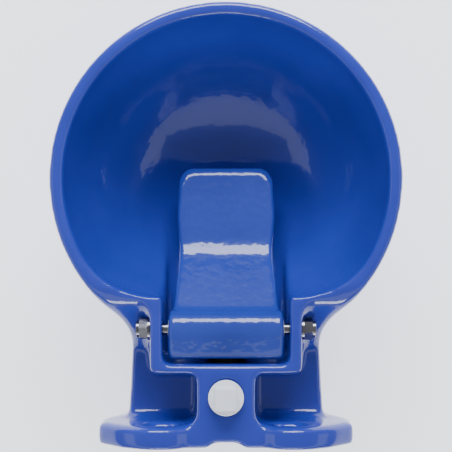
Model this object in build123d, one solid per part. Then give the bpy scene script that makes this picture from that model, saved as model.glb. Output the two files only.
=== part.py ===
from build123d import *
import math
import os

# Livestock drinking bowl with a pressure tongue, in millimetres.
# Origin: midway between the two bolt slots, on the wall face. The wall is the plane Y = 0,
# the bowl reaches out towards -Y, +Z is up.

# ---- bowl ----
BOWL_REACH = 183.0            # wall face to the bowl's centre
RIM_TOP = 14.0                # rim above the bolt line
RIM_RADIUS = 120.0            # outside of the rim
RIM_WIDTH = 9.5
RIM_BEAD_HEIGHT = 11.0
RIM_OUTER_ROUND = 3.5
RIM_LOWER_ROUND = 2.0
BOWL_DEPTH = 100.0            # inside, below the rim
BOWL_WALL = 6.5
BACK_WALL_REACH = 79.5        # bowl's centre to its flat back wall, at the rim
BACK_WALL_LEAN = 8.0          # degrees
BACK_WALL_BLEND = 50.0        # radius between the back wall and the round bowl

# ---- neck between bowl and wall flange ----
NECK_HALF_WIDTH = 65.0        # where the neck leaves the bowl
NECK_HALF_WIDTH_AT_WALL = 70.0
NECK_BLEND = 30.0             # plan radius between bowl and neck
NECK_SKIRT_BOTTOM = -62.0
DECK_LEVEL = -30.0
DECK_REACH = 63.0             # wall to the foot of the shoulders
DECK_ROUND = 12.0
DECK_BACK_ROUND = 10.0        # from the deck up to the flange
SHOULDER_CREST_REACH = 80.7   # bowl's centre to the top of the shoulders
SHOULDER_CREST_ROUND = 25.0
CAST_WALL = 7.0

# ---- tongue frame and pipe boss ----
FRAME_TOP = 12.0
POCKET_WIDTH = 86.0
POCKET_BACK = 56.8            # wall to the back of the pocket
POCKET_CORNER = 3.0
CHEEK_WIDTH = 8.8
CROSSBAR_WIDTH = 6.6
FRAME_CORNER = 3.6
FRAME_FOOT_ROUND = 8.0
POCKET_FLOOR_LEVEL = -46.0    # at the back of the pocket
CHANNEL_END_REACH = 32.0      # bowl's centre to where the channel's corners fade out
TROUGH_ROUND = 20.0           # outside, along the bottom of the pocket
BOSS_WIDTH = 40.0
BOSS_FOOT_RADIUS = 18.5
BOSS_BOTTOM = -78.0

# ---- wall flange ----
FLANGE_THICKNESS = 15.0
EAR_HALF_SPAN = 88.0
EAR_PEAK = 20.0
EAR_INNER_RADIUS = 25.0
EAR_OUTER_RADIUS = 45.0
EAR_SHOULDER_ANGLE = 45.0     # degrees below level, from the arc to the ear's end
EAR_FOOT_LEVEL = -28.0
FLANGE_EDGE_ROUND = 2.0
EAR_FRONT_FOOT_ROUND = 8.0
BOLT_SPACING = 88.0
SLOT_WIDTH = 11.0
SLOT_LENGTH = 17.0
GROOVE_WIDTH = 16.5
GROOVE_MOUTH = 24.0
GROOVE_DEPTH = 3.7

# ---- water way ----
PASSAGE_REACH = 35.0          # wall to the vertical passage
PIPE_THREAD_RADIUS = 9.3      # G 1/2, core of the inside thread
PIPE_THREAD_LENGTH = 16.0
WATERWAY_RADIUS = 8.0

# ---- axle ----
AXLE_DROP = 11.0              # frame top to the axle's centre
AXLE_REACH = 80.2             # wall to the axle
AXLE_RADIUS = 4.0
AXLE_END_CHAMFER = 0.6
AXLE_HOLE_CLEARANCE = 0.15
AXLE_BOSS_COVER = 12.0        # casting round the axle
NUT_RELIEF_CLEARANCE = 0.15
WASHER_RADIUS = 7.5
WASHER_THICKNESS = 1.6
NUT_ACROSS_FLATS = 13.0
NUT_HEX_HEIGHT = 5.8
NUT_COLLAR_HEIGHT = 2.2
NUT_COLLAR_RADIUS = 5.7
NUT_COLLAR_ROUND = 0.4
NYLON_HEIGHT = 1.6
NYLON_WALL = 1.2
NYLON_INSET = 0.3             # ring's face below the collar's end
THREAD_CLEARANCE = 0.02
NUT_TURN_LEFT = 14.0          # degrees
NUT_TURN_RIGHT = 41.0

# ---- tongue ----
HOOD_SIDE_GAP = 3.5           # hood to the pocket's side
HOOD_RADIUS = 13.0            # round the axle
HOOD_WALL = 5.5
HOOD_SIDE_WALL = 9.0
HOOD_BACK_SLOPE = 17.0        # degrees
HOOD_BACK_REACH = 20.0        # axle to the hood's back edge
HOOD_BACK_ROUND = 2.0
HOOD_BACK_LIP = 9.0
ARM_SLOPE = 40.0              # degrees
ARM_START_DROP = 2.5          # axle's centre down to the arm's upper face, at the hood's front
BEND_REACH = 54.0             # axle to the bend
PADDLE_SLOPE = 15.0           # degrees
BEND_RADIUS = 40.0
TONGUE_REACH = 113.6          # axle to the tip
TONGUE_THICKNESS = 7.0
TONGUE_TIP_CORNER = 13.0
TONGUE_TIP_ROUND = 2.8
ARM_ROOT_INSET = 2.0          # hood's side to the arm's side
ARM_WAIST_WIDTH = 67.0
PADDLE_WIDTH = 71.0
PADDLE_WIDEST_SHARE = 0.375   # of the way from the bend to the tip
TIP_WIDTH = 68.0
TONGUE_EDGE_ROUND = 2.2
HEEL_WIDTH = 14.0
HEEL_FRONT = 6.0              # axle's plane to the heel's front face
HEEL_BACK = 4.0               # axle's plane to the heel's pushing face
HEEL_DROP = 29.5              # axle to the heel's foot
BUSH_RADIUS = 6.0
BUSH_RUNNING_CLEARANCE = 0.06
BUSH_SEAT_CLEARANCE = 0.02

# ---- plug ----
PLUG_HEAD_RADIUS = 12.0
PLUG_HEAD_HEIGHT = 4.0
PLUG_HEAD_ROUND = 0.8
PLUG_SQUARE = 14.8
PLUG_SQUARE_HEIGHT = 7.0
PLUG_SQUARE_ROUND = 1.0
PLUG_SHANK_LENGTH = 12.0
PLUG_SHANK_WALL = 2.4
PLUG_SHANK_CLEARANCE = 0.05
PLUG_SEAL_THICKNESS = 2.0
PLUG_SEAL_RADIUS = 11.6

# ---- valve, its axis along Y ----
VALVE_DROP = 25.0             # axle to the valve's axis
VALVE_BORE_RADIUS = 11.0
VALVE_CHAMBER_END = 20.0      # wall to the blind end of the chamber
VALVE_THREAD_CLEARANCE = 0.05
VALVE_HEX = 27.0
VALVE_HEX_HEIGHT = 7.0
VALVE_HEX_CHAMFER = 0.8
VALVE_BARREL_LENGTH = 9.0
VALVE_SPIGOT_RADIUS = 8.2
VALVE_SPIGOT_LENGTH = 5.0
VALVE_CORE_RADIUS = 7.5
VALVE_SEAT_WALL = 3.0
VALVE_ORIFICE_RADIUS = 5.0
VALVE_LIP_HEIGHT = 0.8
VALVE_LIP_WIDTH = 0.8
GASKET_THICKNESS = 2.0
GASKET_RADIUS = 14.0
GUIDE_THICKNESS = 5.0
GUIDE_SEAT_CLEARANCE = 0.02
GUIDE_PORT_RADIUS = 1.5
GUIDE_PORT_CIRCLE = 5.0
GUIDE_PORT_COUNT = 6
STEM_RADIUS = 2.0
STEM_RUNNING_CLEARANCE = 0.05
STEM_TIP_RADIUS = 3.6
STEM_TIP_LENGTH = 4.0
STEM_TIP_ROUND = 3.2
STEM_COLLAR_RADIUS = 3.4
STEM_COLLAR_HEIGHT = 1.4
HEEL_CLEARANCE = 0.3
DISC_RADIUS = 7.0
DISC_THICKNESS = 2.4
CARRIER_WALL = 0.6
CARRIER_BASE = 1.6
STEM_NUT_FLATS = 7.0
STEM_NUT_HEIGHT = 2.8
STEM_END_LENGTH = 0.8
SPRING_WIRE = 0.9
SPRING_RADIUS = 5.6           # to the wire's centre
SPRING_TURNS = 4
SPRING_SEAT_CLEARANCE = 0.1
CAGE_WALL = 1.2
CAGE_END_WALL = 1.6
CAGE_END_HOLE = 3.5
CAGE_LENGTH = 24.0
CAGE_SLOT_COUNT = 4
CAGE_SLOT_WIDTH = 7.0
CAGE_RING_LENGTH = 4.5

# ---- worked-out places ----
BOWL_CENTRE_Y = -BOWL_REACH
RIM_INNER_RADIUS = RIM_RADIUS - RIM_WIDTH
BOWL_RADIUS = (RIM_INNER_RADIUS**2 + BOWL_DEPTH**2) / (2 * BOWL_DEPTH)
BOWL_CENTRE_Z = RIM_TOP - BOWL_DEPTH + BOWL_RADIUS
AXLE_Y = -AXLE_REACH
AXLE_Z = FRAME_TOP - AXLE_DROP
CHEEK_INNER = POCKET_WIDTH / 2
CHEEK_OUTER = CHEEK_INNER + CHEEK_WIDTH
HOOD_WIDTH = POCKET_WIDTH - 2 * HOOD_SIDE_GAP
VALVE_Z = AXLE_Z - VALVE_DROP
VALVE_MOUTH_Y = -POCKET_BACK
SEAT_FACE_Y = VALVE_MOUTH_Y + VALVE_BARREL_LENGTH + VALVE_SPIGOT_LENGTH
WIDE = 4 * RIM_RADIUS         # longer than the part, for cutting tools
NEAR = 0.01                   # closer than this counts as the same place
UPWARD = 0.5                  # a face whose normal rises more than this looks up


def along_x(face, half_width):
    """Solid of a side profile drawn in Y and Z, symmetric about the middle plane."""
    return extrude(Plane.YZ * face, amount=half_width, both=True)


def polygon(*points):
    """Face inside straight edges through the points."""
    return make_face(Polyline(*points, close=True))


def round_corner(face, corner, radius):
    """Round the corner of a flat face that lies nearest to a point."""
    return fillet(face.vertices().sort_by_distance((corner[0], corner[1], 0))[0], radius)


def half_space(y=0.0, z=0.0, align_y=Align.CENTER, align_z=Align.CENTER):
    """Very large box that ends at a plane."""
    return Pos(0, y, z) * Box(WIDE, WIDE, WIDE, align=(Align.CENTER, align_y, align_z))


def rod_x(radius, start, end, y, z):
    """Round bar along X between two planes."""
    return Plane.YZ.offset(start) * Pos(y, z) * extrude(Circle(radius), amount=end - start)


def disc_y(radius, front, back, hole=0.0):
    """Round bar or ring on the valve's axis, from y = front back to y = back."""
    face = Circle(radius)
    if hole > 0:
        face -= Circle(hole)
    plane = Plane(origin=(0, front, VALVE_Z), x_dir=(1, 0, 0), z_dir=(0, 1, 0))
    return plane * extrude(face, amount=back - front)


# ---------------------------------------------------------------- bowl casting

def bowl_ball(radius, back_reach, back_blend, top):
    """Part of a ball below a level, cut flat at the back, with a rolled edge round the flat."""
    ball = Pos(0, BOWL_CENTRE_Y, BOWL_CENTRE_Z) * Sphere(radius)
    behind = Pos(0, BOWL_CENTRE_Y + back_reach, RIM_TOP) * Rot(BACK_WALL_LEAN, 0, 0)
    ball -= behind * half_space(align_y=Align.MIN)
    ball = fillet(ball.edges().filter_by(GeomType.CIRCLE), back_blend)
    above = Pos(0, BOWL_CENTRE_Y, top)
    return ball - above * Box(WIDE, WIDE, WIDE, align=(Align.CENTER, Align.CENTER, Align.MIN))


def neck_start():
    """Plane where the neck takes over from the rim."""
    return BOWL_CENTRE_Y + BACK_WALL_REACH / 2


def rim_ring():
    """Thickened rim with its rounded outer edge, as far as the neck."""
    bottom = RIM_TOP - RIM_BEAD_HEIGHT
    inner = RIM_INNER_RADIUS - RIM_WIDTH / 2
    face = polygon((inner, bottom), (RIM_RADIUS, bottom), (RIM_RADIUS, RIM_TOP), (inner, RIM_TOP))
    lower, upper = face.vertices().group_by(Axis.X)[-1].sort_by(Axis.Y)
    face = fillet(lower, RIM_LOWER_ROUND)
    face = fillet(face.vertices().sort_by_distance(upper)[0], RIM_OUTER_ROUND)
    ring = Pos(0, BOWL_CENTRE_Y, 0) * revolve(Plane.XZ * face, axis=Axis.Z)
    return ring - half_space(y=neck_start(), align_y=Align.MIN)


def top_line(drop):
    """Side line of the shoulders and the deck, moved down square to itself by drop."""
    crest = BOWL_CENTRE_Y + SHOULDER_CREST_REACH
    foot = -DECK_REACH
    slope = math.atan2(RIM_TOP - DECK_LEVEL, foot - crest)
    shift = drop * math.tan(slope / 2)
    return (crest - shift, RIM_TOP - drop), (foot - shift, DECK_LEVEL - drop)


def neck_plan(inset):
    """Plan of the bowl's back half and the neck that runs from it to the wall."""
    bowl = Pos(0, BOWL_CENTRE_Y) * Circle(RIM_RADIUS - inset)
    front = BOWL_CENTRE_Y + BACK_WALL_REACH
    near = NECK_HALF_WIDTH - inset
    far = NECK_HALF_WIDTH_AT_WALL - inset
    strip = polygon((-near, front), (near, front), (far, 0), (-far, 0))
    plan = bowl + strip
    corners = [v for v in plan.vertices() if front < v.Y < -FLANGE_THICKNESS]
    plan = fillet(corners, NECK_BLEND)
    keep = Pos(0, neck_start())
    return plan & keep * Rectangle(WIDE, WIDE, align=(Align.CENTER, Align.MIN))


def neck_side(*closing):
    """Side face between the line over shoulders and deck and the points that close it."""
    crest, foot = top_line(0)
    deck_back = (-FLANGE_THICKNESS, DECK_LEVEL)
    top = DECK_LEVEL + 2 * DECK_BACK_ROUND
    flange_line = ((-FLANGE_THICKNESS, top), (0, top))
    side = polygon((neck_start(), RIM_TOP), crest, foot, deck_back, *flange_line, *closing)
    side = round_corner(side, crest, SHOULDER_CREST_ROUND)
    side = round_corner(side, foot, DECK_ROUND)
    return round_corner(side, deck_back, DECK_BACK_ROUND)


def neck():
    """Shoulders, deck and side skirts, open below."""
    side = neck_side((0, NECK_SKIRT_BOTTOM), (-FLANGE_THICKNESS, NECK_SKIRT_BOTTOM),
                     (neck_start(), RIM_TOP - RIM_BEAD_HEIGHT))
    block = Pos(0, 0, -WIDE / 2) * extrude(neck_plan(0), amount=WIDE)
    return round_upper_rim(block & along_x(side, WIDE / 2), RIM_OUTER_ROUND)


def round_upper_rim(body, radius):
    """Round the edges between a body's upper faces and its left and right sides."""
    upper = [f for f in body.faces() if f.normal_at().Z > UPWARD]
    shared = [e for f in upper for e in f.edges()]
    rim = [e for e in shared if sum(e.is_same(other) for other in shared) == 1]
    return fillet([e for e in rim if abs(e.center().X) > TONGUE_TIP_CORNER], radius)


def neck_hollow():
    """Space under the shoulders and the deck."""
    crest, foot = top_line(CAST_WALL)
    start = neck_start()
    low = BOSS_BOTTOM - RIM_RADIUS
    back = -FLANGE_THICKNESS
    side = polygon((start, crest[1]), crest, foot, (back, foot[1]), (back, low), (start, low))
    block = Pos(0, 0, -WIDE / 2) * extrude(neck_plan(CAST_WALL), amount=WIDE)
    return block & along_x(side, WIDE / 2)


def upright_block(half_width, back, corner):
    """Block from the bowl back to a plane, taller than the frame."""
    front = neck_start()
    plan = polygon((-half_width, front), (half_width, front), (half_width, back), (-half_width, back))
    if corner > 0:
        plan = fillet(plan.vertices().group_by(Axis.Y)[-1], corner)
    return Pos(0, 0, -WIDE / 2) * extrude(plan, amount=WIDE / 2 + RIM_TOP + 2 * FRAME_FOOT_ROUND)


def frame_block():
    """Block that the pocket is sunk into, with the pipe boss behind it, still too tall."""
    back = CROSSBAR_WIDTH - POCKET_BACK
    frame = upright_block(CHEEK_OUTER, back, FRAME_CORNER) & trough()
    boss = upright_block(BOSS_WIDTH / 2, 0, 0) & half_space(z=NECK_SKIRT_BOTTOM, align_z=Align.MIN)
    return frame + (boss & half_space(y=back - CROSSBAR_WIDTH / 2, align_y=Align.MIN))


def foot_edges(body):
    """Inner corners where the frame and the boss stand on the deck."""
    on_deck = [e for e in body.edges() if abs(e.center().Z - DECK_LEVEL) < NEAR]
    found = []
    for edge in on_deck:
        box = edge.bounding_box()
        near, far = sorted((abs(box.min.X), abs(box.max.X)))
        if near > BOSS_WIDTH / 2 - NEAR and far < CHEEK_OUTER + NEAR:
            found.append(edge)
    return found


def corner_edges(body):
    """Upright inner corners between the crossbar and the boss."""
    back = CROSSBAR_WIDTH - POCKET_BACK
    upright = [e for e in body.edges().filter_by(Axis.Z) if abs(e.center().Y - back) < NEAR]
    above_deck = [e for e in upright if e.center().Z > DECK_LEVEL]
    return [e for e in above_deck if abs(abs(e.center().X) - BOSS_WIDTH / 2) < NEAR]


def over_frame():
    """Space above the frame, the boss and the rim."""
    half_width = CHEEK_OUTER + FRAME_FOOT_ROUND
    back_wall = BOWL_CENTRE_Y + BACK_WALL_REACH
    above = Box(2 * half_width, WIDE, WIDE, align=(Align.CENTER, Align.MIN, Align.MIN))
    return Pos(0, back_wall, FRAME_TOP) * above + half_space(z=RIM_TOP, align_z=Align.MIN)


def neck_with_frame(core):
    """Neck with the frame and the boss standing on it, all corners cast round."""
    apron_width = BOSS_WIDTH + 4 * FRAME_FOOT_ROUND
    apron_height = FRAME_TOP - DECK_LEVEL
    apron = Box(apron_width, FLANGE_THICKNESS, apron_height, align=(Align.CENTER, Align.MAX, Align.MAX))
    body = neck() + Pos(0, 0, FRAME_TOP) * apron + core
    body = fillet(foot_edges(body), FRAME_FOOT_ROUND)
    body = fillet(corner_edges(body), FRAME_CORNER)
    return body - over_frame()


def trough():
    """U-shaped bar, rounded below, that slopes down from the back of the pocket into the bowl."""
    front, back = pocket_floor_line(CAST_WALL)
    run = math.hypot(back[0] - front[0], back[1] - front[1])
    half_width = CHEEK_OUTER + CAST_WALL / 2
    face = Rectangle(2 * half_width, WIDE, align=(Align.CENTER, Align.MIN))
    face = fillet(face.vertices().group_by(Axis.Y)[0], TROUGH_ROUND)
    plane = Plane(origin=(0, *back), x_dir=(1, 0, 0), z_dir=(0, front[0] - back[0], front[1] - back[1]))
    return plane * extrude(face, amount=2 * run, both=True)


def pocket_floor_line(drop):
    """Ends of the channel's sloping floor: in the bowl and at the back of the pocket."""
    end_y = BOWL_CENTRE_Y + CHANNEL_END_REACH
    end_z = BOWL_CENTRE_Z - math.sqrt(BOWL_RADIUS**2 - CHANNEL_END_REACH**2 - CHEEK_INNER**2)
    return (end_y, end_z - drop), (-POCKET_BACK, POCKET_FLOOR_LEVEL - drop)


def pocket():
    """Space for the tongue: open to the top and into the bowl."""
    floor = pocket_floor_line(0)
    side = polygon(floor[0], floor[1], (-POCKET_BACK, EAR_PEAK), (floor[0][0], EAR_PEAK))
    plan = polygon((-CHEEK_INNER, floor[0][0]), (CHEEK_INNER, floor[0][0]),
                   (CHEEK_INNER, -POCKET_BACK), (-CHEEK_INNER, -POCKET_BACK))
    corners = plan.vertices().group_by(Axis.Y)[-1]
    plan = fillet(corners, POCKET_CORNER)
    block = Pos(0, 0, -WIDE / 2) * extrude(plan, amount=WIDE)
    return block & along_x(side, WIDE / 2)


def flange():
    """Wall plate with two ears, drawn in X and Z."""
    lobe_x = BOLT_SPACING / 2
    inner_centre = EAR_PEAK - EAR_INNER_RADIUS
    rise = FRAME_TOP - inner_centre
    lobe_start = lobe_x - math.sqrt(EAR_INNER_RADIUS**2 - rise**2)
    angle = math.radians(EAR_SHOULDER_ANGLE)
    arc_end_x = lobe_x + EAR_OUTER_RADIUS * math.sin(angle)
    arc_end_z = EAR_PEAK - EAR_OUTER_RADIUS * (1 - math.cos(angle))
    tip_z = arc_end_z - (EAR_HALF_SPAN - arc_end_x) * math.tan(angle)
    inner_angle = math.degrees(math.acos(rise / EAR_INNER_RADIUS))
    inner_arc = CenterArc((lobe_x, inner_centre), EAR_INNER_RADIUS, 90, inner_angle)
    outer_arc = CenterArc((lobe_x, EAR_PEAK - EAR_OUTER_RADIUS), EAR_OUTER_RADIUS,
                          90 - EAR_SHOULDER_ANGLE, EAR_SHOULDER_ANGLE)
    lines = Polyline((arc_end_x, arc_end_z), (EAR_HALF_SPAN, tip_z), (EAR_HALF_SPAN, EAR_FOOT_LEVEL),
                     (NECK_HALF_WIDTH_AT_WALL, NECK_SKIRT_BOTTOM), (0, NECK_SKIRT_BOTTOM), (0, FRAME_TOP),
                     (lobe_start, FRAME_TOP))
    half = make_face([inner_arc, outer_arc, lines])
    foot = half.vertices().sort_by_distance((EAR_HALF_SPAN, EAR_FOOT_LEVEL, 0))[0]
    half = fillet(foot, EAR_FRONT_FOOT_ROUND)
    face = half + mirror(half, about=Plane.YZ)
    plate = extrude(Plane.XZ * face, amount=FLANGE_THICKNESS)
    front_edges = plate.faces().sort_by(Axis.Y)[0].edges()
    return fillet([e for e in front_edges if abs(e.center().X) > lobe_x], FLANGE_EDGE_ROUND)


def bolt_slots():
    """The two slots through the ears."""
    slot = SlotOverall(SLOT_LENGTH, SLOT_WIDTH)
    cuts = [extrude(Plane.XZ * Pos(side * BOLT_SPACING / 2, 0) * slot, amount=FLANGE_THICKNESS * 2, both=True)
            for side in (-1, 1)]
    return cuts[0] + cuts[1]


def wall_groove():
    """Shallow vertical groove in the middle of the wall face."""
    plan = polygon((-GROOVE_MOUTH / 2, 0), (GROOVE_MOUTH / 2, 0),
                   (GROOVE_WIDTH / 2, -GROOVE_DEPTH), (-GROOVE_WIDTH / 2, -GROOVE_DEPTH))
    return Pos(0, 0, -WIDE / 2) * extrude(plan, amount=WIDE)


def boss_foot():
    """Round lower end of the pipe boss, with the water inlet in its face."""
    height = FRAME_TOP - BOSS_BOTTOM - CAST_WALL
    foot = Pos(0, -PASSAGE_REACH, BOSS_BOTTOM) * extrude(Circle(BOSS_FOOT_RADIUS), amount=height)
    return fillet(foot.edges().sort_by(Axis.Z)[0], FLANGE_EDGE_ROUND)


def water_way():
    """Vertical passage, threaded at both ends, and the valve's bore that meets it."""
    passage = Pos(0, -PASSAGE_REACH, BOSS_BOTTOM)
    cut = passage * extrude(Circle(WATERWAY_RADIUS), amount=FRAME_TOP - BOSS_BOTTOM)
    cut += passage * extrude(Circle(PIPE_THREAD_RADIUS), amount=PIPE_THREAD_LENGTH)
    cut += Pos(0, -PASSAGE_REACH, FRAME_TOP) * extrude(Circle(PIPE_THREAD_RADIUS), amount=-PIPE_THREAD_LENGTH)
    cut += disc_y(VALVE_BORE_RADIUS, VALVE_MOUTH_Y - 1, -VALVE_CHAMBER_END)
    return cut


def axle_bosses():
    """Rounded swellings of the cheeks round the axle."""
    boss = rod_x(AXLE_BOSS_COVER, CHEEK_INNER, CHEEK_OUTER, AXLE_Y, AXLE_Z)
    return boss + mirror(boss, about=Plane.YZ)


def axle_cuts():
    """Axle holes through the cheeks, and room for the nuts outside them."""
    hole = rod_x(AXLE_RADIUS + AXLE_HOLE_CLEARANCE, -CHEEK_OUTER - 1, CHEEK_OUTER + 1, AXLE_Y, AXLE_Z)
    relief = rod_x(WASHER_RADIUS + NUT_RELIEF_CLEARANCE, CHEEK_OUTER, RIM_RADIUS, AXLE_Y, AXLE_Z)
    return hole + relief + mirror(relief, about=Plane.YZ)


def bowl_casting():
    """The one-piece casting."""
    shell_reach = BACK_WALL_REACH + CAST_WALL
    shell_top = RIM_TOP - RIM_OUTER_ROUND
    shell = bowl_ball(BOWL_RADIUS + BOWL_WALL, shell_reach, BACK_WALL_BLEND + BOWL_WALL, shell_top)
    over_shoulder = along_x(neck_side((0, WIDE), (neck_start(), WIDE)), WIDE / 2)
    core = frame_block()
    hollow = neck_hollow() - shell - core
    body = neck_with_frame(core) + rim_ring() - hollow
    body += shell - over_shoulder
    body += boss_foot()
    body += flange()
    body += axle_bosses()
    body -= bowl_ball(BOWL_RADIUS, BACK_WALL_REACH, BACK_WALL_BLEND, RIM_TOP)
    body -= pocket()
    body -= water_way()
    body -= axle_cuts()
    body -= bolt_slots()
    body -= wall_groove()
    return body


# ---------------------------------------------------------------- axle and its fasteners

def axle_half_length():
    """Middle of the part to the end of the axle, just inside the nut's collar."""
    return CHEEK_OUTER + WASHER_THICKNESS + NUT_HEX_HEIGHT + NUT_COLLAR_HEIGHT - AXLE_END_CHAMFER / 2


def axle():
    """Plain rod with chamfered ends."""
    half = axle_half_length()
    rod = rod_x(AXLE_RADIUS, -half, half, AXLE_Y, AXLE_Z)
    ends = rod.edges().filter_by(GeomType.CIRCLE)
    return chamfer(ends, AXLE_END_CHAMFER)


def ring_x(outer, inner, start, end):
    """Ring round the axle between two planes."""
    return rod_x(outer, start, end, AXLE_Y, AXLE_Z) - rod_x(inner, start, end, AXLE_Y, AXLE_Z)


def washer(side):
    """Flat washer against a cheek."""
    inner = CHEEK_OUTER
    outer = inner + WASHER_THICKNESS
    ring = ring_x(WASHER_RADIUS, AXLE_RADIUS + AXLE_HOLE_CLEARANCE, inner, outer)
    return ring if side > 0 else mirror(ring, about=Plane.YZ)


def lock_nut(side, turn):
    """Hexagon nut with a round collar that holds a nylon ring."""
    base = CHEEK_OUTER + WASHER_THICKNESS
    top = base + NUT_HEX_HEIGHT
    end = top + NUT_COLLAR_HEIGHT
    flat_to_corner = 2 / math.sqrt(3)
    hexagon = RegularPolygon(NUT_ACROSS_FLATS / 2 * flat_to_corner, 6, rotation=turn)
    nut = Plane.YZ.offset(base) * Pos(AXLE_Y, AXLE_Z) * extrude(hexagon, amount=NUT_HEX_HEIGHT)
    corner_radius = NUT_ACROSS_FLATS / 2 * flat_to_corner
    bevel = corner_radius - NUT_ACROSS_FLATS / 2
    barrel = rod_x(corner_radius, base, top, AXLE_Y, AXLE_Z)
    nut &= chamfer(barrel.edges().filter_by(GeomType.CIRCLE), bevel / 2)
    nut += rod_x(NUT_COLLAR_RADIUS, top - bevel, end, AXLE_Y, AXLE_Z)
    rim = nut.edges().sort_by(Axis.X)[-1]
    nut = fillet(rim, NUT_COLLAR_ROUND)
    nut -= rod_x(AXLE_RADIUS + THREAD_CLEARANCE, base, end, AXLE_Y, AXLE_Z)
    nut -= rod_x(nylon_radius(), end - NYLON_HEIGHT, end, AXLE_Y, AXLE_Z)
    return nut if side > 0 else mirror(nut, about=Plane.YZ)


def nylon_radius():
    """Outside of the nylon ring, which is also its seat in the collar."""
    return AXLE_RADIUS + THREAD_CLEARANCE + NYLON_WALL


def nylon_ring(side):
    """Locking ring in the nut's collar."""
    end = CHEEK_OUTER + WASHER_THICKNESS + NUT_HEX_HEIGHT + NUT_COLLAR_HEIGHT
    ring = ring_x(nylon_radius(), AXLE_RADIUS + THREAD_CLEARANCE, end - NYLON_HEIGHT, end - NYLON_INSET)
    return ring if side > 0 else mirror(ring, about=Plane.YZ)


# ---------------------------------------------------------------- tongue

def hood_outline(inset):
    """Side outline of the hood: round over the axle, sloping down to its back edge."""
    radius = HOOD_RADIUS - inset
    slope = math.radians(HOOD_BACK_SLOPE)
    touch = (AXLE_Y + radius * math.sin(slope), AXLE_Z + radius * math.cos(slope))
    back = AXLE_Y + HOOD_BACK_REACH - inset
    back_level = touch[1] - (back - touch[0]) * math.tan(slope)
    return touch, (back, back_level)


def hood():
    """Solid hood over the hinge, before it is hollowed."""
    touch, corner = hood_outline(0)
    lip = (corner[0], corner[1] - HOOD_BACK_LIP)
    face = Pos(AXLE_Y, AXLE_Z) * Circle(HOOD_RADIUS)
    face += polygon((AXLE_Y, AXLE_Z), touch, corner, lip)
    back = face.vertices().sort_by_distance((corner[0], corner[1], 0))[0]
    face = fillet(back, HOOD_BACK_ROUND)
    block = along_x(face, HOOD_WIDTH / 2)
    ends = [e for e in block.edges() if abs(abs(e.center().X) - HOOD_WIDTH / 2) < NEAR]
    return fillet(ends, TONGUE_EDGE_ROUND)


def hood_hollow():
    """Space inside the hood, open below."""
    touch, corner = hood_outline(HOOD_WALL)
    radius = HOOD_RADIUS - HOOD_WALL
    low = AXLE_Z - 2 * HOOD_RADIUS
    face = Pos(AXLE_Y, AXLE_Z) * Circle(radius)
    face += polygon((AXLE_Y, AXLE_Z), touch, corner, (corner[0], low), (AXLE_Y, low))
    front, back = AXLE_Y - radius, AXLE_Y + radius
    face += polygon((front, AXLE_Z), (back, AXLE_Z), (back, low), (front, low))
    return along_x(face, HOOD_WIDTH / 2 - HOOD_SIDE_WALL)


def tongue_top():
    """Side line of the tongue's upper face: root, bend and tip."""
    root = (AXLE_Y, AXLE_Z - ARM_START_DROP + HOOD_RADIUS * math.tan(math.radians(ARM_SLOPE)))
    bend_y = AXLE_Y - BEND_REACH
    bend = (bend_y, root[1] - (root[0] - bend_y) * math.tan(math.radians(ARM_SLOPE)))
    tip_y = AXLE_Y - TONGUE_REACH
    tip = (tip_y, bend[1] - (bend_y - tip_y) * math.tan(math.radians(PADDLE_SLOPE)))
    return root, bend, tip


def square_below(point, slope):
    """Point one thickness below the upper face, square to it."""
    angle = math.radians(slope)
    return point[0] + TONGUE_THICKNESS * math.sin(angle), point[1] - TONGUE_THICKNESS * math.cos(angle)


def tongue_plate():
    """Arm and paddle: one plate, bent once, waisted at the bend."""
    root, bend, tip = tongue_top()
    low_root = square_below(root, ARM_SLOPE)
    low_bend = square_below(bend, (ARM_SLOPE + PADDLE_SLOPE) / 2)
    low_tip = square_below(tip, PADDLE_SLOPE)
    face = polygon(root, bend, tip, low_tip, low_bend, low_root)
    upper = face.vertices().sort_by_distance((bend[0], bend[1], 0))[0]
    face = fillet(upper, BEND_RADIUS)
    lower = face.vertices().sort_by_distance((low_bend[0], low_bend[1], 0))[0]
    face = fillet(lower, BEND_RADIUS + TONGUE_THICKNESS)
    nose = [face.vertices().sort_by_distance((y, z, 0))[0] for y, z in (tip, low_tip)]
    face = fillet(nose, TONGUE_TIP_ROUND)
    plate = along_x(face, HOOD_WIDTH)
    paddle_y = bend[0] + PADDLE_WIDEST_SHARE * (tip[0] - bend[0])
    root_width = HOOD_WIDTH - 2 * ARM_ROOT_INSET
    widths = (root_width, ARM_WAIST_WIDTH, PADDLE_WIDTH, TIP_WIDTH)
    right = [(width / 2, y) for width, y in zip(widths, (AXLE_Y, bend[0], paddle_y, tip[0]))]
    left = [(-x, y) for x, y in reversed(right)]
    plan = polygon(*right, *left)
    waist = [v for v in plan.vertices() if min(abs(v.Y - bend[0]), abs(v.Y - paddle_y)) < NEAR]
    plan = fillet(waist, BEND_RADIUS)
    plan = fillet(plan.vertices().group_by(Axis.Y)[0], TONGUE_TIP_CORNER)
    plate &= Pos(0, 0, -WIDE / 2) * extrude(plan, amount=WIDE)
    return round_upper_rim(plate, TONGUE_EDGE_ROUND)


def heel():
    """Finger under the axle that pushes the valve's stem."""
    finger = polygon((AXLE_Y - HEEL_FRONT, AXLE_Z + HOOD_RADIUS - HOOD_WALL / 2),
                     (AXLE_Y + HEEL_BACK, AXLE_Z + HOOD_RADIUS - HOOD_WALL / 2),
                     (AXLE_Y + HEEL_BACK, AXLE_Z - HEEL_DROP), (AXLE_Y - HEEL_FRONT / 2, AXLE_Z - HEEL_DROP),
                     (AXLE_Y - HEEL_FRONT, AXLE_Z - HEEL_DROP / 2))
    return along_x(finger, HEEL_WIDTH / 2)


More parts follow.
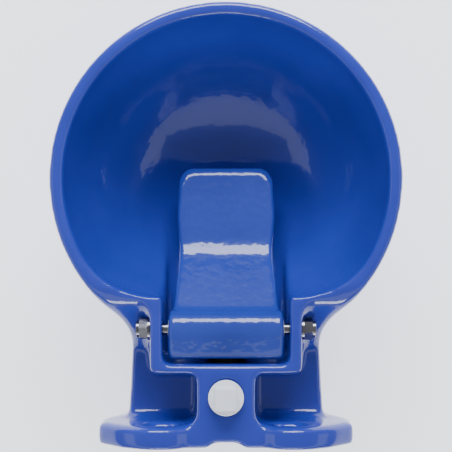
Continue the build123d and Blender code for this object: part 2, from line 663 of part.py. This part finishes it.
def tongue():
    """Pressure tongue with its hood and heel."""
    body = hood() + tongue_plate()
    body -= hood_hollow()
    body += heel()
    half = HOOD_WIDTH / 2
    body -= rod_x(AXLE_RADIUS + 2 * AXLE_HOLE_CLEARANCE, -half, half, AXLE_Y, AXLE_Z)
    for side in (-1, 1):
        inner = side * (half - HOOD_SIDE_WALL)
        body -= rod_x(BUSH_RADIUS + BUSH_SEAT_CLEARANCE, inner, side * half, AXLE_Y, AXLE_Z)
    return body


def tongue_bush(side):
    """Bearing sleeve in the hood's side wall."""
    outer = HOOD_WIDTH / 2
    ring = ring_x(BUSH_RADIUS, AXLE_RADIUS + BUSH_RUNNING_CLEARANCE, outer - HOOD_SIDE_WALL, outer)
    return ring if side > 0 else mirror(ring, about=Plane.YZ)


# ---------------------------------------------------------------- plug

def plug():
    """Round head with a square to turn it by, over a hollow threaded shank."""
    base = Pos(0, -PASSAGE_REACH, FRAME_TOP + PLUG_SEAL_THICKNESS)
    head = extrude(Circle(PLUG_HEAD_RADIUS), amount=PLUG_HEAD_HEIGHT)
    head = fillet(head.edges().sort_by(Axis.Z)[-1], PLUG_HEAD_ROUND)
    square = extrude(Rectangle(PLUG_SQUARE, PLUG_SQUARE), amount=PLUG_HEAD_HEIGHT + PLUG_SQUARE_HEIGHT)
    square = fillet(square.edges().filter_by(Axis.Z), PLUG_SQUARE_ROUND)
    square = chamfer(square.faces().sort_by(Axis.Z)[-1].edges(), PLUG_SQUARE_ROUND / 2)
    shank_radius = PIPE_THREAD_RADIUS - PLUG_SHANK_CLEARANCE
    shank = extrude(Circle(shank_radius), amount=-PLUG_SHANK_LENGTH)
    shank -= extrude(Circle(shank_radius - PLUG_SHANK_WALL), amount=-PLUG_SHANK_LENGTH)
    return base * (head + square + shank)


def plug_seal():
    """Sealing ring under the plug's head."""
    face = Circle(PLUG_SEAL_RADIUS) - Circle(PIPE_THREAD_RADIUS)
    return Pos(0, -PASSAGE_REACH, FRAME_TOP) * extrude(face, amount=PLUG_SEAL_THICKNESS)


# ---------------------------------------------------------------- valve

def valve_body():
    """Hexagon head, threaded barrel and a spigot that ends in the valve seat."""
    face_y = VALVE_MOUTH_Y - GASKET_THICKNESS
    head_y = face_y - VALVE_HEX_HEIGHT
    corner = VALVE_HEX / math.sqrt(3)
    plane = Plane(origin=(0, head_y, VALVE_Z), x_dir=(1, 0, 0), z_dir=(0, 1, 0))
    body = plane * extrude(RegularPolygon(corner, 6), amount=VALVE_HEX_HEIGHT)
    blank = disc_y(corner, head_y, face_y)
    body &= chamfer(blank.edges().filter_by(GeomType.CIRCLE).sort_by(Axis.Y)[0], VALVE_HEX_CHAMFER)
    barrel_end = VALVE_MOUTH_Y + VALVE_BARREL_LENGTH
    body += disc_y(VALVE_BORE_RADIUS - VALVE_THREAD_CLEARANCE, face_y, barrel_end)
    body += disc_y(VALVE_SPIGOT_RADIUS, barrel_end, SEAT_FACE_Y)
    body -= disc_y(VALVE_CORE_RADIUS, head_y, SEAT_FACE_Y - VALVE_SEAT_WALL)
    body -= disc_y(VALVE_ORIFICE_RADIUS, SEAT_FACE_Y - VALVE_SEAT_WALL, SEAT_FACE_Y)
    lip_radius = VALVE_ORIFICE_RADIUS + VALVE_LIP_WIDTH
    body += disc_y(lip_radius, SEAT_FACE_Y, SEAT_FACE_Y + VALVE_LIP_HEIGHT, VALVE_ORIFICE_RADIUS)
    return body


def valve_gasket():
    """Sealing ring between the hexagon and the pocket's back wall."""
    return disc_y(GASKET_RADIUS, VALVE_MOUTH_Y - GASKET_THICKNESS, VALVE_MOUTH_Y, VALVE_BORE_RADIUS)


def guide_front():
    """Front face of the stem guide, flush with the hexagon."""
    return VALVE_MOUTH_Y - GASKET_THICKNESS - VALVE_HEX_HEIGHT


def stem_guide():
    """Disc that guides the stem, with a circle of outlet ports."""
    front = guide_front()
    back = front + GUIDE_THICKNESS
    bore = STEM_RADIUS + STEM_RUNNING_CLEARANCE
    guide = disc_y(VALVE_CORE_RADIUS - GUIDE_SEAT_CLEARANCE, front, back, bore)
    plane = Plane(origin=(0, front, VALVE_Z), x_dir=(1, 0, 0), z_dir=(0, 1, 0))
    ports = PolarLocations(GUIDE_PORT_CIRCLE, GUIDE_PORT_COUNT) * Circle(GUIDE_PORT_RADIUS)
    for port in ports:
        guide -= plane * extrude(port, amount=GUIDE_THICKNESS)
    return guide


def carrier_front():
    """Plane where the rubber disc rests on the seat's lip."""
    return SEAT_FACE_Y + VALVE_LIP_HEIGHT


def stem_shoulder():
    """Plane of the stem's collar, which the rubber disc is clamped against."""
    return carrier_front()


def valve_stem():
    """Pin with a domed tip at the heel and a collar in front of the rubber disc."""
    tip_y = AXLE_Y + HEEL_BACK + HEEL_CLEARANCE
    disc_back = carrier_front() + DISC_THICKNESS
    end_y = disc_back + CARRIER_BASE + STEM_NUT_HEIGHT + STEM_END_LENGTH
    stem = disc_y(STEM_RADIUS, tip_y + STEM_TIP_LENGTH / 2, end_y)
    tip = disc_y(STEM_TIP_RADIUS, tip_y, tip_y + STEM_TIP_LENGTH)
    tip = fillet(tip.edges().filter_by(GeomType.CIRCLE).sort_by(Axis.Y)[0], STEM_TIP_ROUND)
    stem += tip
    collar_back = stem_shoulder()
    stem += disc_y(STEM_COLLAR_RADIUS, collar_back - STEM_COLLAR_HEIGHT, collar_back)
    return stem


def seal_disc():
    """Rubber disc on the valve seat."""
    front = carrier_front()
    return disc_y(DISC_RADIUS, front, front + DISC_THICKNESS, STEM_RADIUS + THREAD_CLEARANCE)


def disc_carrier():
    """Cup behind the rubber disc."""
    front = carrier_front() + DISC_THICKNESS
    inner = DISC_RADIUS + THREAD_CLEARANCE
    cup = disc_y(inner + CARRIER_WALL, front, front + CARRIER_BASE, STEM_RADIUS + THREAD_CLEARANCE)
    cup += disc_y(inner + CARRIER_WALL, front - DISC_THICKNESS / 2, front, inner)
    return cup


def stem_nut():
    """Nut that clamps the cup and the rubber disc on the stem."""
    front = carrier_front() + DISC_THICKNESS + CARRIER_BASE
    plane = Plane(origin=(0, front, VALVE_Z), x_dir=(1, 0, 0), z_dir=(0, 1, 0))
    nut = plane * extrude(RegularPolygon(STEM_NUT_FLATS / math.sqrt(3), 6), amount=STEM_NUT_HEIGHT)
    return nut - disc_y(STEM_RADIUS + THREAD_CLEARANCE, front, front + STEM_NUT_HEIGHT)


def cage_end():
    """Inner face of the cage's end wall."""
    return VALVE_MOUTH_Y + VALVE_BARREL_LENGTH + CAGE_LENGTH - CAGE_END_WALL


def valve_spring():
    """Compression spring of square wire between the cup and the cage's end."""
    start = carrier_front() + DISC_THICKNESS + CARRIER_BASE + SPRING_WIRE / 2 + SPRING_SEAT_CLEARANCE
    length = cage_end() - SPRING_WIRE / 2 - SPRING_SEAT_CLEARANCE - start
    path = Helix(pitch=length / SPRING_TURNS, height=length, radius=SPRING_RADIUS)
    section = Plane(origin=path @ 0, z_dir=path % 0) * Rectangle(SPRING_WIRE, SPRING_WIRE)
    coil = sweep(section, path=path, is_frenet=True)
    plane = Plane(origin=(0, start, VALVE_Z), x_dir=(1, 0, 0), z_dir=(0, 1, 0))
    return plane * coil


def spring_cage():
    """Slotted sleeve on the spigot, closed at its end, that lets the water in."""
    front = VALVE_MOUTH_Y + VALVE_BARREL_LENGTH
    back = front + CAGE_LENGTH
    inner = VALVE_SPIGOT_RADIUS + THREAD_CLEARANCE
    cage = disc_y(inner + CAGE_WALL, front, back, inner)
    cage += disc_y(inner, back - CAGE_END_WALL, back, CAGE_END_HOLE)
    slot_front = front + VALVE_SPIGOT_LENGTH + THREAD_CLEARANCE
    slot_length = CAGE_LENGTH - VALVE_SPIGOT_LENGTH - CAGE_RING_LENGTH
    for index in range(CAGE_SLOT_COUNT // 2):
        plane = Plane(origin=(0, slot_front, VALVE_Z), x_dir=(1, 0, 0), z_dir=(0, 1, 0))
        slot = Rectangle(CAGE_SLOT_WIDTH, 4 * VALVE_BORE_RADIUS, rotation=index * 360 / CAGE_SLOT_COUNT)
        cage -= plane * extrude(slot, amount=slot_length)
    return cage


def main():
    os.makedirs("parts", exist_ok=True)
    nodes = {
        "bowl_casting": bowl_casting(),
        "tongue": tongue(),
        "tongue_bush_left": tongue_bush(-1),
        "tongue_bush_right": tongue_bush(1),
        "axle": axle(),
        "washer_left": washer(-1),
        "washer_right": washer(1),
        "lock_nut_left": lock_nut(-1, NUT_TURN_LEFT),
        "lock_nut_right": lock_nut(1, NUT_TURN_RIGHT),
        "nylon_ring_left": nylon_ring(-1),
        "nylon_ring_right": nylon_ring(1),
        "plug": plug(),
        "plug_seal": plug_seal(),
        "valve_body": valve_body(),
        "valve_gasket": valve_gasket(),
        "stem_guide": stem_guide(),
        "valve_stem": valve_stem(),
        "seal_disc": seal_disc(),
        "disc_carrier": disc_carrier(),
        "stem_nut": stem_nut(),
        "valve_spring": valve_spring(),
        "spring_cage": spring_cage(),
    }
    for name, shape in nodes.items():
        shape.label = name
        export_step(shape, f"parts/{name}.step")


if __name__ == "__main__":
    main()
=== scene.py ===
import math

import bpy
import numpy as np
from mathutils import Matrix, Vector

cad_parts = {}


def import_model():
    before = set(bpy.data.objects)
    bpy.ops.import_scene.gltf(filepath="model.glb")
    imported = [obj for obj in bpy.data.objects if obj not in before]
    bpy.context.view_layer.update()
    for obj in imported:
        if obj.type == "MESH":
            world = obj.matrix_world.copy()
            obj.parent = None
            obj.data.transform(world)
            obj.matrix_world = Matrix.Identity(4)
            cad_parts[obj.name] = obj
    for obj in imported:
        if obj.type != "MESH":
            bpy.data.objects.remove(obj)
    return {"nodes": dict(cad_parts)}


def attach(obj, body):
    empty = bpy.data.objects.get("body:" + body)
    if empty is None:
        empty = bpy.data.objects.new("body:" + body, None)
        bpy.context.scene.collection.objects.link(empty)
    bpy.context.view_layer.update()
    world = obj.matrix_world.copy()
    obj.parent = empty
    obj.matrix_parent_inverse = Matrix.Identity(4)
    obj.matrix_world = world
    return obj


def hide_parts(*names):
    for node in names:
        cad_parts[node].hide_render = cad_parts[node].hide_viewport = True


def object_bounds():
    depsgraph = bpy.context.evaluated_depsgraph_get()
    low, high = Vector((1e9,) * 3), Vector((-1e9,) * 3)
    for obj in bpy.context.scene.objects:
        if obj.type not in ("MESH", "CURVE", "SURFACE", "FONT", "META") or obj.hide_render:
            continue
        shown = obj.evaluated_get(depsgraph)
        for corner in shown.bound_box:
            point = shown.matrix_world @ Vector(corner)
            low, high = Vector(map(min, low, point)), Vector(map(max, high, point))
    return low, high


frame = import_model()
CAD_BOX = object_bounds()

# ---- camera: straight above the bowl, with the wall side at the bottom of the picture ----
CAMERA_PLACE = (0.0, -0.1506, 0.814)
CAMERA_LENS = 94.6
CAMERA_CLIP = (0.05, 20)
SENSOR_WIDTH = 36.0

# ---- nodes by material ----
STEEL_NODES = ("axle", "washer_left", "washer_right", "lock_nut_left", "lock_nut_right")
NYLON_NODES = (
    "nylon_ring_left", "nylon_ring_right", "tongue_bush_left", "tongue_bush_right", "stem_guide",
)
RUBBER_NODES = ("plug_seal", "valve_gasket", "seal_disc")
BRASS_NODES = ("valve_body", "disc_carrier", "stem_nut")

# ---- enamel skins: voxel and rounds set how soft the corners run, ripples how uneven it is ----
PATCH_STEPS = 4
SKINS = (
    dict(
        node="bowl_casting", body="bowl", voxel=0.0019, rounds=20, ripples=0.35,
        deep=(0.024, 0.042, 0.345, 1), light=(0.031, 0.052, 0.405, 1),
    ),
    dict(
        node="tongue", body="tongue", voxel=0.0009, rounds=60, ripples=1.0,
        deep=(0.022, 0.046, 0.310, 1), light=(0.030, 0.058, 0.365, 1),
    ),
)

# ---- front of the tongue, whose top falls away towards its edge ----
TIP_HALF_WIDTH = 0.0345
TIP_FRONT_Y = -0.1930
TIP_CORNER = 0.0130
TIP_REACH = 0.0060
TIP_SLOPE = 0.27
TIP_BLEND = 0.0007

# ---- studio: strengths of the glow round the part, and where its walls begin and end ----
# An edge is a pair: the direction's value where the step starts and where it is complete.
SKY_COLOUR = (0.84, 0.89, 1.0, 1)
LOW_GLOW = 0.34
OVERHEAD = 0.45
OVERHEAD_EDGE = (0.0, 0.45)
WALL_GLOW = 1.1
SIDE_WALL_EDGE = (1.18, 1.26)
SIDE_WALL_FOOT = (0.28, 0.40)
BACK_WALL_EDGE = (0.85, 0.90)
BACK_WALL_FOOT = (0.37, 0.46)
WALL_FRONT_END = (-0.20, -0.14)
AHEAD_GLOW = 0.2
AHEAD_EDGE = (-0.55, -0.65)
AHEAD_TOP = (0.32, 0.28)
LEAST_HEIGHT = 0.02

MIDDLE = Vector((0, -0.15, 0.0))
PANEL_COLOUR = (0.84, 0.88, 1.0)
PANEL_DISTANCE = 1.8
PANELS = (
    dict(name="front_panel", bearing=0, elevation=33, size=(1.5, 0.70), power=56),
    dict(name="back_panel", bearing=180, elevation=14, size=(1.0, 0.30), power=14),
)

FLOOR_HALF_SIZE = 3.0
FLOOR_DROP = 0.002
FLOOR_COLOUR = (0.94, 0.95, 0.96, 1)
FLOOR_ROUGHNESS = 0.9
FLOOR_GLOW = 1.25


# ---------------------------------------------------------------- materials

class Shader:
    """Small helper round one material's node tree."""

    def __init__(self, name):
        self.material = bpy.data.materials.new(name)
        self.material.use_nodes = True
        self.nodes = self.material.node_tree.nodes
        self.links = self.material.node_tree.links
        self.bsdf = self.nodes["Principled BSDF"]
        self.coords = self.nodes.new("ShaderNodeTexCoord").outputs["Object"]

    def set(self, **values):
        for key, value in values.items():
            self.bsdf.inputs[key.replace("_", " ")].default_value = value

    def link(self, output, socket):
        self.links.new(output, self.bsdf.inputs[socket])

    def mapped(self, stretch, offset):
        mapping = self.nodes.new("ShaderNodeMapping")
        mapping.inputs["Scale"].default_value = stretch
        mapping.inputs["Location"].default_value = offset
        self.links.new(self.coords, mapping.inputs["Vector"])
        return mapping.outputs["Vector"]

    def noise(self, scale, detail, roughness, stretch=(1, 1, 1), offset=(0, 0, 0)):
        noise = self.nodes.new("ShaderNodeTexNoise")
        noise.inputs["Scale"].default_value = scale
        noise.inputs["Detail"].default_value = detail
        noise.inputs["Roughness"].default_value = roughness
        self.links.new(self.mapped(stretch, offset), noise.inputs["Vector"])
        return noise.outputs["Fac"]

    def spots(self, scale):
        cells = self.nodes.new("ShaderNodeTexVoronoi")
        cells.inputs["Scale"].default_value = scale
        self.links.new(self.coords, cells.inputs["Vector"])
        return cells.outputs["Distance"]

    def ramp(self, factor, start, end):
        """Blend from one (position, colour) stop to another."""
        ramp = self.nodes.new("ShaderNodeValToRGB")
        for element, (position, colour) in zip(ramp.color_ramp.elements, (start, end)):
            element.position = position
            element.color = colour
        self.links.new(factor, ramp.inputs["Fac"])
        return ramp.outputs["Color"]

    def range(self, factor, low, high, start=0.0, end=1.0):
        """Spread a factor that runs from start to end over low to high."""
        mapped = self.nodes.new("ShaderNodeMapRange")
        mapped.inputs["From Min"].default_value = start
        mapped.inputs["From Max"].default_value = end
        mapped.inputs["To Min"].default_value = low
        mapped.inputs["To Max"].default_value = high
        self.links.new(factor, mapped.inputs["Value"])
        return mapped.outputs["Result"]

    def speckle(self, factor, base, speck):
        """Lay a plain colour over a base colour where the factor is high."""
        mix = self.nodes.new("ShaderNodeMix")
        mix.data_type = "RGBA"
        mix.inputs["B"].default_value = speck
        self.links.new(factor, mix.inputs["Factor"])
        self.links.new(base, mix.inputs["A"])
        return mix.outputs["Result"]

    def bump(self, height, strength, distance, below=None):
        bump = self.nodes.new("ShaderNodeBump")
        bump.inputs["Strength"].default_value = strength
        bump.inputs["Distance"].default_value = distance
        self.links.new(height, bump.inputs["Height"])
        if below is not None:
            self.links.new(below, bump.inputs["Normal"])
        return bump.outputs["Normal"]


def dimmed(colour, share):
    return tuple(share * channel for channel in colour[:3]) + (1,)


def enamel(name, ripples, deep, light):
    """Fired cobalt enamel over rough cast iron; ripples says how uneven its run is."""
    shader = Shader(name)
    waves = shader.noise(scale=38, detail=1.5, roughness=0.45)
    ripple = shader.noise(scale=170, detail=1.0, roughness=0.5, offset=(0.2, 0.5, 0.1))
    peel = shader.noise(scale=420, detail=1.0, roughness=0.4)
    tone = shader.noise(scale=16, detail=3.0, roughness=0.55, offset=(0.3, 0.1, 0.7))
    specks = shader.range(shader.spots(scale=330), low=1, high=0, start=0.02, end=0.10)
    base = shader.ramp(tone, (0.30, deep), (0.70, light))
    shader.link(shader.speckle(specks, base, (0.006, 0.030, 0.20, 1)), "Base Color")
    shader.link(shader.range(peel, low=0.16, high=0.24, start=0.3, end=0.7), "Roughness")
    shader.set(IOR=1.30, Coat_Weight=0.7, Coat_Roughness=0.03, Coat_IOR=1.5)
    normal = shader.bump(waves, strength=0.25, distance=0.0012)
    normal = shader.bump(ripple, strength=ripples, distance=0.00025, below=normal)
    normal = shader.bump(peel, strength=0.10, distance=0.0001, below=normal)
    shader.link(normal, "Normal")
    shader.link(normal, "Coat Normal")
    return shader.material


def metal(name, tint, stretch):
    """Worked metal with fine grooves; stretch squeezes them across their run."""
    shader = Shader(name)
    grain = shader.noise(scale=90, detail=3.0, roughness=0.6, stretch=stretch)
    stain = shader.noise(scale=60, detail=3.0, roughness=0.6)
    shader.link(shader.ramp(stain, (0.30, dimmed(tint, 0.55)), (0.60, tint)), "Base Color")
    shader.link(shader.range(grain, low=0.12, high=0.30), "Roughness")
    shader.set(Metallic=1.0)
    shader.link(shader.bump(grain, strength=0.15, distance=0.0001), "Normal")
    return shader.material


def plastic(name, colour, roughness=(0.30, 0.42), scatter=0.0):
    """Moulded plastic with a faint texture."""
    shader = Shader(name)
    texture = shader.noise(scale=600, detail=2.0, roughness=0.5)
    cloud = shader.noise(scale=70, detail=2.0, roughness=0.5)
    shader.link(shader.ramp(cloud, (0.35, dimmed(colour, 0.96)), (0.65, colour)), "Base Color")
    shader.link(shader.range(texture, *roughness), "Roughness")
    shader.set(Subsurface_Weight=scatter, Subsurface_Scale=0.002, IOR=1.49)
    shader.link(shader.bump(texture, strength=0.12, distance=0.0001), "Normal")
    return shader.material


def rubber():
    """Black sealing rubber."""
    shader = Shader("rubber")
    texture = shader.noise(scale=500, detail=3.0, roughness=0.6)
    dark, grey = (0.012, 0.012, 0.013, 1), (0.03, 0.03, 0.032, 1)
    shader.link(shader.ramp(texture, (0.3, dark), (0.7, grey)), "Base Color")
    shader.link(shader.range(texture, low=0.55, high=0.8), "Roughness")
    shader.link(shader.bump(texture, strength=0.3, distance=0.0001), "Normal")
    return shader.material


def dress(names, material):
    """Give CAD nodes their material."""
    for name in names:
        mesh = frame["nodes"][name].data
        mesh.materials.clear()
        mesh.materials.append(material)


# ---------------------------------------------------------------- enamel skins

def curved_points(p, n, i, j, steps):
    """Point of a cubic patch over each triangle, from its corners and corner normals."""
    u, v = i / steps, j / steps
    w = 1 - u - v

    def toward(a, b):
        bend = np.einsum("ij,ij->i", p[:, b] - p[:, a], n[:, a])
        return (2 * p[:, a] + p[:, b] - bend[:, None] * n[:, a]) / 3

    near = {pair: toward(*pair) for pair in ((0, 1), (1, 0), (1, 2), (2, 1), (2, 0), (0, 2))}
    edge = sum(near.values()) / 6
    middle = edge + (edge - p.mean(axis=1)) / 2
    point = p[:, 0] * w**3 + p[:, 1] * u**3 + p[:, 2] * v**3
    point += 3 * w * u * (w * near[0, 1] + u * near[1, 0])
    point += 3 * u * v * (u * near[1, 2] + v * near[2, 1])
    point += 3 * v * w * (v * near[2, 0] + w * near[0, 2])
    return point + 6 * u * v * w * middle


def read(items, attribute, kind=np.float32, width=3):
    """Values of one attribute of mesh elements, as an array of rows."""
    values = np.empty(width * len(items), dtype=kind)
    items.foreach_get(attribute, values)
    return values.reshape(-1, width) if width > 1 else values


def rounded_copy(node, steps=PATCH_STEPS):
    """Copy of a node's mesh with its curved faces cut finer along their true curve."""
    mesh = frame["nodes"][node].data
    mesh.calc_loop_triangles()
    corners = read(mesh.loop_triangles, "loops", np.int32)
    vertex = read(mesh.loops, "vertex_index", np.int32, 1)
    p = read(mesh.vertices, "co")[vertex[corners]]
    n = read(mesh.corner_normals, "vector")[corners]
    grid = [(i, j) for i in range(steps + 1) for j in range(steps + 1 - i)]
    index = {ij: k for k, ij in enumerate(grid)}
    points = np.stack([curved_points(p, n, i, j, steps) for i, j in grid], axis=1)
    small = [
        (index[i, j], index[i + 1, j], index[i, j + 1])
        for i, j in grid if i + j < steps
    ]
    small += [
        (index[i + 1, j], index[i + 1, j + 1], index[i, j + 1])
        for i, j in grid if i + j < steps - 1
    ]
    faces = np.array(small)[None] + len(grid) * np.arange(len(p))[:, None, None]
    made = bpy.data.meshes.new(node + "_fine")
    made.from_pydata(points.reshape(-1, 3), [], faces.reshape(-1, 3))
    return made


def droop_tip(mesh):
    """Let the top of the tongue's tip fall away towards its front edge."""
    place = read(mesh.vertices, "co")
    side = np.maximum(np.abs(place[:, 0]) - (TIP_HALF_WIDTH - TIP_CORNER), 0)
    ahead = np.maximum(TIP_FRONT_Y + TIP_CORNER - place[:, 1], 0)
    inside = np.clip(TIP_REACH - (TIP_CORNER - np.hypot(side, ahead)), 0, TIP_REACH)
    inside *= np.clip(ahead / TIP_CORNER, 0, 1) ** 0.5
    upward = np.clip(read(mesh.vertex_normals, "vector")[:, 2], 0, 1)
    place[:, 2] -= upward * TIP_SLOPE * (np.hypot(inside, TIP_BLEND) - TIP_BLEND)
    mesh.vertices.foreach_set("co", place.ravel())
    mesh.update()


def enamel_skin(node, body, voxel, rounds, material):
    """Enamelled outside of a casting: the same form with its corners run soft."""
    piece = bpy.data.objects.new(node + "_enamel", rounded_copy(node))
    bpy.context.scene.collection.objects.link(piece)
    remesh = piece.modifiers.new("remesh", "REMESH")
    remesh.mode = "VOXEL"
    remesh.voxel_size = voxel
    soften = piece.modifiers.new("soften", "SMOOTH")
    soften.factor = 0.5
    soften.iterations = rounds
    bpy.context.view_layer.update()
    shape = piece.evaluated_get(bpy.context.evaluated_depsgraph_get())
    mesh = bpy.data.meshes.new_from_object(shape)
    piece.modifiers.clear()
    piece.data = mesh
    mesh.name = piece.name
    if node == "tongue":
        droop_tip(mesh)
    mesh.shade_smooth()
    mesh.materials.clear()
    mesh.materials.append(material)
    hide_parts(node)
    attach(piece, body)


# ---------------------------------------------------------------- studio

def floor():
    """Pale glowing floor under the lowest point."""
    size, level = FLOOR_HALF_SIZE, CAD_BOX[0].z - FLOOR_DROP
    corners = [
        (-size, -size, level), (size, -size, level), (size, size, level), (-size, size, level),
    ]
    mesh = bpy.data.meshes.new("floor")
    mesh.from_pydata(corners, [], [(0, 1, 2, 3)])
    paint = Shader("floor_paint")
    paint.set(
        Base_Color=FLOOR_COLOUR, Roughness=FLOOR_ROUGHNESS,
        Emission_Color=FLOOR_COLOUR, Emission_Strength=FLOOR_GLOW,
    )
    mesh.materials.append(paint.material)
    made = bpy.data.objects.new("floor", mesh)
    bpy.context.scene.collection.objects.link(made)


def panel(name, bearing, elevation, size, power):
    """Soft light that stands at a bearing from the front and a height, in degrees."""
    turn, rise = math.radians(bearing), math.radians(elevation)
    away = Vector((
        math.sin(turn) * math.cos(rise),
        -math.cos(turn) * math.cos(rise),
        math.sin(rise),
    ))
    data = bpy.data.lights.new(name, "AREA")
    data.shape = "RECTANGLE"
    data.size, data.size_y = size
    data.energy = power
    data.color = PANEL_COLOUR
    made = bpy.data.objects.new(name, data)
    bpy.context.scene.collection.objects.link(made)
    made.location = MIDDLE + PANEL_DISTANCE * away
    made.rotation_mode = "QUATERNION"
    made.rotation_quaternion = (-away).to_track_quat("-Z", "Y")


def world():
    """Studio round the part: a grey glow all round, with white walls beside and behind it.

    The walls are edges in the ratio of a direction's sideways or backward part to its height,
    so that the bowl mirrors them as one arch.
    """
    made = bpy.data.worlds.new("studio")
    bpy.context.scene.world = made
    made.use_nodes = True
    nodes, links = made.node_tree.nodes, made.node_tree.links
    direction = nodes.new("ShaderNodeSeparateXYZ")
    links.new(nodes.new("ShaderNodeTexCoord").outputs["Generated"], direction.inputs["Vector"])
    x, y, z = (direction.outputs[axis] for axis in "XYZ")

    def maths(operation, a, b=None):
        made = nodes.new("ShaderNodeMath")
        made.operation = operation
        for socket, value in zip(made.inputs, (a, b)):
            if isinstance(value, float):
                socket.default_value = value
            elif value is not None:
                links.new(value, socket)
        return made.outputs["Value"]

    def step(value, edge, low=0.0, high=1.0):
        ramp = nodes.new("ShaderNodeMapRange")
        ramp.interpolation_type = "SMOOTHSTEP"
        for name, number in zip(("From Min", "From Max", "To Min", "To Max"), (*edge, low, high)):
            ramp.inputs[name].default_value = number
        links.new(value, ramp.inputs["Value"])
        return ramp.outputs["Result"]

    height = maths("MAXIMUM", z, LEAST_HEIGHT)
    beside = step(maths("DIVIDE", maths("ABSOLUTE", x), height), SIDE_WALL_EDGE)
    beside = maths("MULTIPLY", beside, step(z, SIDE_WALL_FOOT))
    behind = step(maths("DIVIDE", y, height), BACK_WALL_EDGE)
    behind = maths("MULTIPLY", behind, step(z, BACK_WALL_FOOT))
    walls = maths("MAXIMUM", beside, behind)
    walls = maths("MULTIPLY", walls, step(y, WALL_FRONT_END))
    ahead = maths("MULTIPLY", step(y, AHEAD_EDGE), step(z, AHEAD_TOP))
    glow = step(z, OVERHEAD_EDGE, LOW_GLOW, OVERHEAD)
    glow = maths("ADD", glow, maths("MULTIPLY", ahead, AHEAD_GLOW))
    strength = maths("ADD", glow, maths("MULTIPLY", walls, WALL_GLOW))
    background = nodes["Background"]
    background.inputs["Color"].default_value = SKY_COLOUR
    links.new(strength, background.inputs["Strength"])


def camera():
    data = bpy.data.cameras.new("camera")
    data.lens = CAMERA_LENS
    data.sensor_width = SENSOR_WIDTH
    data.clip_start, data.clip_end = CAMERA_CLIP
    made = bpy.data.objects.new("camera", data)
    bpy.context.scene.collection.objects.link(made)
    made.location = CAMERA_PLACE
    made.rotation_euler = (0, 0, math.pi)
    bpy.context.scene.camera = made


# ---------------------------------------------------------------- the scene

dress(STEEL_NODES, metal("stainless", (0.26, 0.25, 0.26, 1), stretch=(1, 30, 30)))
dress(NYLON_NODES, plastic("nylon", (0.72, 0.72, 0.68, 1)))
dress(RUBBER_NODES, rubber())
dress(BRASS_NODES, metal("brass", (0.70, 0.50, 0.22, 1), stretch=(30, 1, 30)))
dress(("valve_stem",), metal("stem_steel", (0.60, 0.60, 0.60, 1), stretch=(30, 1, 30)))
dress(("valve_spring",), metal("spring_steel", (0.55, 0.55, 0.57, 1), stretch=(8, 8, 8)))
dress(("spring_cage",), plastic("cage_plastic", (0.10, 0.10, 0.11, 1)))
dress(("plug",), plastic("white_plastic", (0.95, 0.96, 0.98, 1), (0.28, 0.40), scatter=0.15))

for skin in SKINS:
    coat = enamel("enamel_" + skin["body"], skin["ripples"], skin["deep"], skin["light"])
    dress((skin["node"],), coat)
    enamel_skin(skin["node"], skin["body"], skin["voxel"], skin["rounds"], coat)

floor()
camera()
world()
for light in PANELS:
    panel(**light)
